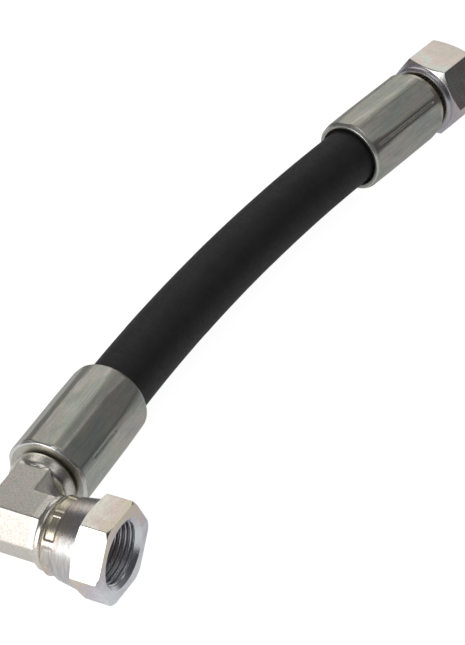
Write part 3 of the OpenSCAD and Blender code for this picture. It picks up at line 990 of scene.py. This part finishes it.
def make_straight_insert(material):
    """Tail, collar and cone nose in one piece, laid out from the far nut's rear face."""
    collar_r = 13.3 * MM
    collar_low = 0.2 * MM - straight_nut_gap
    collar_high = collar_low + 3.1 * MM
    corners = [(-straight_nut_gap - TAIL_END, PASSAGE_R, 0.2 * MM)]
    corners += [(-straight_nut_gap - z, r, fillet) for z, r, fillet in reversed(tail_corners()[1:])]
    corners += [
        (collar_low, TAIL_COLLAR_R, 0),
        (collar_low, collar_r - 0.4 * MM, 0.1 * MM),
        (collar_low + 0.4 * MM, collar_r, 0.3 * MM),
        (collar_high - 0.7 * MM, collar_r, 0.4 * MM),
        (collar_high, collar_r - 0.8 * MM, 0.2 * MM),
        (collar_high, NECK_R, 0.3 * MM),
    ]
    corners += nose_corners()
    piece = turned("straight_insert_body", straight_nut_place, outline(corners, 1.0 * MM), ROUND)
    return finished(piece, material, "turned_zinc", "straight_insert")


# ---------------------------------------------------------------- the forged block

BLOCK_VOXEL = 0.25 * MM
BLOCK_SMOOTHING = {"factor": 0.5, "iterations": 6}


def make_block():
    """A copy of the CAD block, with its edges softened as forging leaves them."""
    piece = bpy.data.objects.new("elbow_block_forging", frame["nodes"]["elbow_block"].data.copy())
    bpy.context.scene.collection.objects.link(piece)
    for kind, settings in (("REMESH", {"mode": "VOXEL", "voxel_size": BLOCK_VOXEL}),
                           ("SMOOTH", BLOCK_SMOOTHING)):
        modifier = piece.modifiers.new(kind.lower(), kind)
        for key, value in settings.items():
            setattr(modifier, key, value)
    shape = bpy.data.meshes.new_from_object(piece.evaluated_get(bpy.context.evaluated_depsgraph_get()))
    piece.modifiers.clear()
    piece.data = shape
    shape.name = "elbow_block_forging"
    points = np.empty(len(shape.vertices) * 3, np.float32)
    shape.vertices.foreach_get("co", points)
    store_local(shape, points.reshape(-1, 3) - np.array(corner, np.float32))
    shape.polygons.foreach_set("use_smooth", [True] * len(shape.polygons))
    return finished(piece, block_metal(), "block_zinc", "elbow_block")


# ---------------------------------------------------------------- everything in its place

ELBOW_CREASE = (8.5 * MM, 23 * MM)
STRAIGHT_CREASE = (3 * MM, 41 * MM)


def make_ends():
    """Both ends' fittings. Returns the pieces on the hose's far end."""
    sleeve = ferrule_metal()
    bar = turned_metal()
    ferrule = make_ferrule("elbow_ferrule_shell", elbow_hose_place, ELBOW_RIDGE, ELBOW_CREASE,
                           "elbow_ferrule", sleeve)
    for piece in (ferrule, make_hose_tail(bar), make_cone_stub(bar), make_block()):
        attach(piece, "elbow_end")
    ferrule = make_ferrule("straight_ferrule_shell", straight_hose_place, STRAIGHT_RIDGE, STRAIGHT_CREASE,
                           "straight_ferrule", sleeve)
    insert = make_straight_insert(bar)
    for piece in (ferrule, insert):
        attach(piece, "straight_end")
    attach(make_elbow_nut(), "elbow_nut")
    nut = make_straight_nut()
    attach(nut, "straight_nut")
    return [ferrule, insert, nut, frame["nodes"]["straight_cone_seal"]]


make_camera()
cover = make_hose()
make_inner_layers()
make_ends()
brazing = braze_metal()
for node in ("elbow_tail_braze", "elbow_stub_braze"):
    finished(frame["nodes"][node], brazing, "braze")
ring_rubber = seal_rubber()
for node in ("elbow_cone_seal", "straight_cone_seal"):
    finished(frame["nodes"][node], ring_rubber, "seal_rubber")

# ---------------------------------------------------------------- floor and light

STUDIO_CENTRE = Vector((-0.02, 0.14, 0))
FLOOR_HALF = 6.0
FLOOR_GLOW = 0.97
# painted reflection: the floor's glow as the metal mirrors it, bright at the front and dark at the back
MIRRORED_TONES = [(0, (0.59, 0.59, 0.59)), (0.35, (0.32, 0.32, 0.33)), (0.7, (0.32, 0.32, 0.33)),
                  (0.85, (0.09, 0.09, 0.1))]


def make_floor():
    """A pale table that glows. What the camera sees is white, and what the metal mirrors is a painted gradient of
    light, brighter at the front.
    """
    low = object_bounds()[0].z
    corners = [(x * FLOOR_HALF, y * FLOOR_HALF, low) for x, y in ((-1, -1), (1, -1), (1, 1), (-1, 1))]
    floor = mesh_piece("floor", corners, [(0, 1, 2, 3)], smooth=False)
    mat = Shader("floor_paper")
    where = mat.node("ShaderNodeTexCoord").outputs["Object"]
    ahead = mat.math("ADD", mat.math("MULTIPLY", mat.axis(where, "X"), 0.5), mat.axis(where, "Y"))
    mirrored = mat.ramp(mat.between(ahead, -0.09, 0.51), MIRRORED_TONES)
    paper = mat.ramp(mat.noise(where, 3.0), [(0.3, (0.97, 0.97, 0.97)), (0.7, (1.0, 1.0, 1.0))])
    seen = mat.node("ShaderNodeLightPath").outputs["Is Camera Ray"]
    dull = mat.mix(0.8, paper, colour(0.2, 0.2, 0.2))
    mat.finish(Base_Color=dull, Roughness=0.9, Emission_Color=mat.mix(seen, mirrored, paper),
               Emission_Strength=FLOOR_GLOW)
    floor.data.materials.append(mat.material)


def softbox(name, azimuth, elevation, distance, width, height, radiance, tint=(1, 1, 1)):
    """An area light facing the object. Azimuth and elevation are where it stands, as in direction_to."""
    away = direction_to(azimuth, elevation)
    data = bpy.data.lights.new(name, "AREA")
    data.shape = "RECTANGLE"
    data.size = width
    data.size_y = height
    data.energy = radiance * math.pi * width * height
    data.color = tint
    light = bpy.data.objects.new(name, data)
    light.location = STUDIO_CENTRE + away * distance
    light.rotation_mode = "QUATERNION"
    light.rotation_quaternion = away.to_track_quat("Z", "Y")
    light.visible_camera = False
    bpy.context.scene.collection.objects.link(light)


def make_world():
    """Dim all round for reflections, darker to the right, and pale where the camera looks past the floor."""
    world = bpy.data.worlds.new("studio")
    bpy.context.scene.world = world
    world.use_nodes = True
    nodes = world.node_tree.nodes
    links = world.node_tree.links
    direction = nodes.new("ShaderNodeTexCoord").outputs["Generated"]
    parts = nodes.new("ShaderNodeSeparateXYZ")
    links.new(direction, parts.inputs[0])
    dim = nodes.new("ShaderNodeValToRGB")
    dim.color_ramp.elements[0].position = 0.68
    dim.color_ramp.elements[0].color = colour(0.12, 0.12, 0.125)
    dim.color_ramp.elements[1].position = 0.84
    dim.color_ramp.elements[1].color = colour(0.035, 0.035, 0.04)
    links.new(parts.outputs["X"], dim.inputs["Fac"])
    mix = nodes.new("ShaderNodeMix")
    mix.data_type = "RGBA"
    mix.inputs[7].default_value = colour(0.95, 0.95, 0.95)
    links.new(nodes.new("ShaderNodeLightPath").outputs["Is Camera Ray"], mix.inputs[0])
    links.new(dim.outputs["Color"], mix.inputs[6])
    links.new(mix.outputs[2], nodes["Background"].inputs["Color"])


make_floor()
make_world()
softbox("front_left", azimuth=-23, elevation=19, distance=0.95, width=0.45, height=0.6, radiance=3.2)
softbox("back_left", azimuth=-150, elevation=33, distance=1.1, width=0.85, height=0.7, radiance=0.72,
        tint=(1.0, 0.985, 0.95))
softbox("back_right_high", azimuth=135, elevation=50, distance=1.2, width=0.5, height=0.35, radiance=0.75)
softbox("overhead", azimuth=60, elevation=82, distance=1.3, width=0.9, height=0.9, radiance=0.8)
bpy.context.scene.view_settings.view_transform = "Standard"
